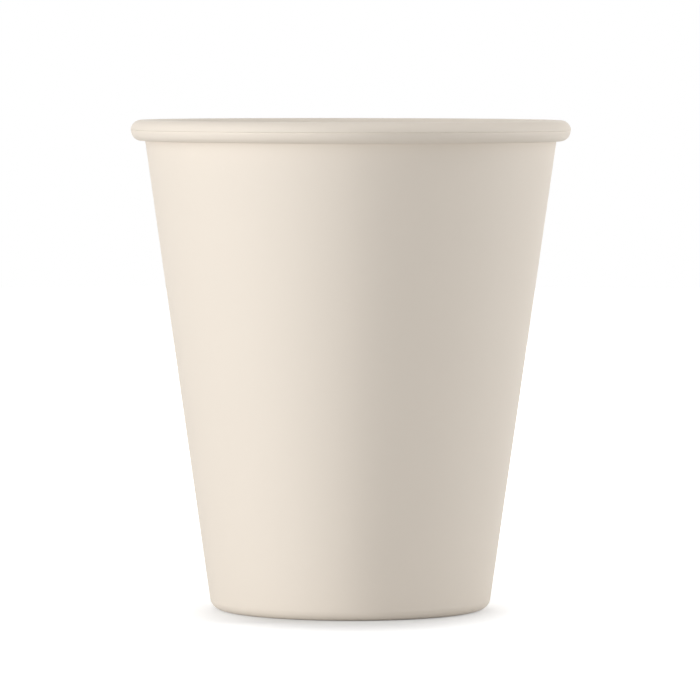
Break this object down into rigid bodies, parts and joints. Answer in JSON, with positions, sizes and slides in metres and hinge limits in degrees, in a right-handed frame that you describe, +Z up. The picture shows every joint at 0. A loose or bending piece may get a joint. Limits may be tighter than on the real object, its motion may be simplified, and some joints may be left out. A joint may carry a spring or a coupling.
{
  "type": "reusable cup",
  "caption": "Plain tapered drinking cup moulded in one piece, with a round bead rim, a rounded base edge and a recessed underside.",
  "frame": {"origin": "on the axis, in the plane that the cup stands on", "axes": "+Z up along the cup's axis towards the rim; the cup is round, so X and Y are free, and the picture looks along +Y"},
  "size_m": [0.08, 0.08, 0.089],
  "materials": {
    "cup_plastic": "matte, moulded in one warm ivory beige"
  },
  "bodies": {
    "root": {"cup": "cup_plastic"}
  },
  "joints": []
}
